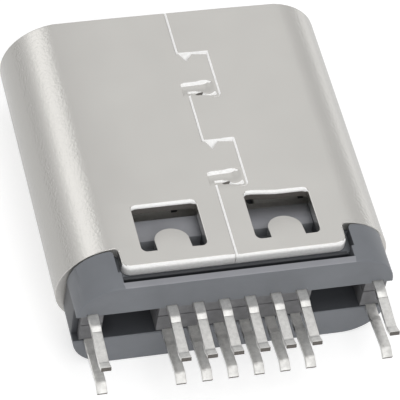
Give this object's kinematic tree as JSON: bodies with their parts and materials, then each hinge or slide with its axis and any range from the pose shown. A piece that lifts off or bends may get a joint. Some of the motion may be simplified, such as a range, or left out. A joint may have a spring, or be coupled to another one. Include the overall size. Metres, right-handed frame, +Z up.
{
  "type": "usb-c socket",
  "caption": "Board-edge connector socket: folded metal shell, moulded housing, central contact tongue, and bent leads that grip a circuit board's edge.",
  "frame": {"origin": "centre of the mouth that the plug enters, midway between the shell's top and bottom", "axes": "+Y out of the mouth, towards the plug; +Z up, out of the shell's seam side; +X along the rows of leads"},
  "size_m": [0.009, 0.0107, 0.0032],
  "materials": {
    "shell_nickel": "satin nickel plate on folded steel sheet",
    "housing_plastic": "moulded, fine matte texture",
    "carrier_plastic": "moulded, matte",
    "tongue_plastic": "moulded, matte",
    "plate_steel": "plain stamped sheet",
    "spring_steel": "plain stamped sheet",
    "contact_tin": "tin plate over copper alloy strip"
  },
  "bodies": {
    "root": {"shell": "shell_nickel", "housing": "housing_plastic", "upper_carrier": "carrier_plastic", "lower_carrier": "carrier_plastic", "tongue": "tongue_plastic", "mid_plate": "plate_steel", "upper_ground_spring": "spring_steel", "lower_ground_spring": "spring_steel", "contact_a1": "contact_tin", "contact_a4": "contact_tin", "contact_a5": "contact_tin", "contact_a6": "contact_tin", "contact_a7": "contact_tin", "contact_a8": "contact_tin", "contact_a9": "contact_tin", "contact_a12": "contact_tin", "contact_b1": "contact_tin", "contact_b4": "contact_tin", "contact_b5": "contact_tin", "contact_b6": "contact_tin", "contact_b7": "contact_tin", "contact_b8": "contact_tin", "contact_b9": "contact_tin", "contact_b12": "contact_tin"}
  },
  "joints": []
}
